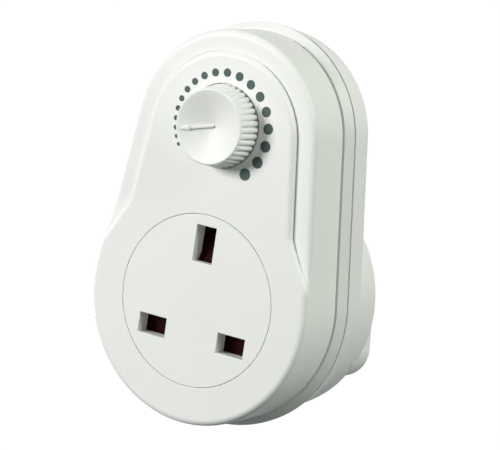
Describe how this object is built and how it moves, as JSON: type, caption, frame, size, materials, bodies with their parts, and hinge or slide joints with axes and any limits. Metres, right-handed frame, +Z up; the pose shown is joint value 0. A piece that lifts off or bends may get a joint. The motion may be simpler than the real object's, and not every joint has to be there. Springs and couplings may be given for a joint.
{
  "type": "plug-in dimmer",
  "caption": "Plug-in lamp dimmer: a wall plug behind, a shuttered three-pin socket in front and a fluted rotary knob with a dotted scale above it.",
  "frame": {"origin": "on the plug face, midway between the line and neutral pins", "axes": "+Y out of the plug face along the pins, so the socket and knob face -Y; +Z up towards the knob"},
  "size_m": [0.0634, 0.0699, 0.0984],
  "materials": {
    "body_plastic": "semi-gloss off-white moulded plastic",
    "socket_plastic": "smooth off-white moulded plastic",
    "knob_plastic": "smooth off-white moulded plastic",
    "shutter_plastic": "dark red moulded plastic",
    "spring_steel": "drawn wire",
    "inner_plastic": "plain ivory moulding",
    "brass": "drawn and stamped brass",
    "sleeve_plastic": "dark grey insulating sleeve",
    "fuse_ceramic": "unglazed ceramic tube",
    "nickel": "bright plated metal",
    "board_laminate": "green lacquered laminate",
    "pot_case": "dark moulded case",
    "track_laminate": "brown phenolic with a carbon track",
    "dot_ink": "printed grey ink",
    "chip_resin": "black moulding resin",
    "sink_aluminium": "sheared and bent sheet",
    "screw_steel": "zinc-plated steel",
    "ferrite": "sintered iron powder",
    "winding_copper": "lacquered copper wire",
    "film_box": "yellow moulded box",
    "timing_dip": "red dipped lacquer",
    "resistor_lacquer": "tan lacquer",
    "diac_glass": "amber glass bead",
    "brown_insulation": "brown wire insulation",
    "blue_insulation": "blue wire insulation"
  },
  "bodies": {
    "housing": {"front_shell": "body_plastic", "rear_shell": "body_plastic", "socket_insert": "socket_plastic", "shutter_spring": "spring_steel", "contact_carrier": "inner_plastic", "fuse_holder": "inner_plastic", "line_contact": "brass", "neutral_contact": "brass", "earth_contact": "brass", "line_pin": "brass", "neutral_pin": "brass", "earth_pin": "brass", "line_strap": "brass", "neutral_strap": "brass", "earth_strap": "brass", "fuse_clips": "brass", "pin_sleeves": "sleeve_plastic", "pot_bush": "nickel", "pot_terminals": "nickel", "triac_tab": "nickel", "triac_leads": "nickel", "circuit_board": "board_laminate", "pot_body": "pot_case", "pot_track": "track_laminate", "scale_dots": "dot_ink", "triac_body": "chip_resin", "heatsink": "sink_aluminium", "triac_screw": "screw_steel", "triac_nut": "screw_steel", "housing_screws": "screw_steel", "board_screws": "screw_steel", "carrier_screws": "screw_steel", "choke_core": "ferrite", "choke_winding": "winding_copper", "film_capacitor": "film_box", "timing_capacitor": "timing_dip", "resistors": "resistor_lacquer", "diac": "diac_glass", "live_feed_wire": "brown_insulation", "dimmed_live_wire": "brown_insulation", "neutral_wire": "blue_insulation"},
    "knob_set": {"knob": "knob_plastic", "pot_shaft": "nickel", "pot_wiper": "brass"},
    "shutter_set": {"shutter": "shutter_plastic"},
    "fuse_set": {"fuse_carrier": "body_plastic", "fuse_body": "fuse_ceramic", "fuse_end_caps": "nickel"}
  },
  "joints": [
    {"name": "knob_turn", "type": "hinge", "parent": "housing", "child": "knob_set", "pos_m": [0, -0.041, 0.0509], "axis": [0, 1, 0], "range_deg": [-16, 244]},
    {"name": "shutter_slide", "type": "slide", "parent": "housing", "child": "shutter_set", "axis": [0, 0, -1], "range_m": [0, 0.0055], "stiffness_N_per_m": 150, "springref_m": -0.004, "deforming": ["shutter_spring"]},
    {"name": "fuse_pull", "type": "slide", "parent": "housing", "child": "fuse_set", "axis": [0, 1, 0], "range_m": [0, 0.016]}
  ]
}
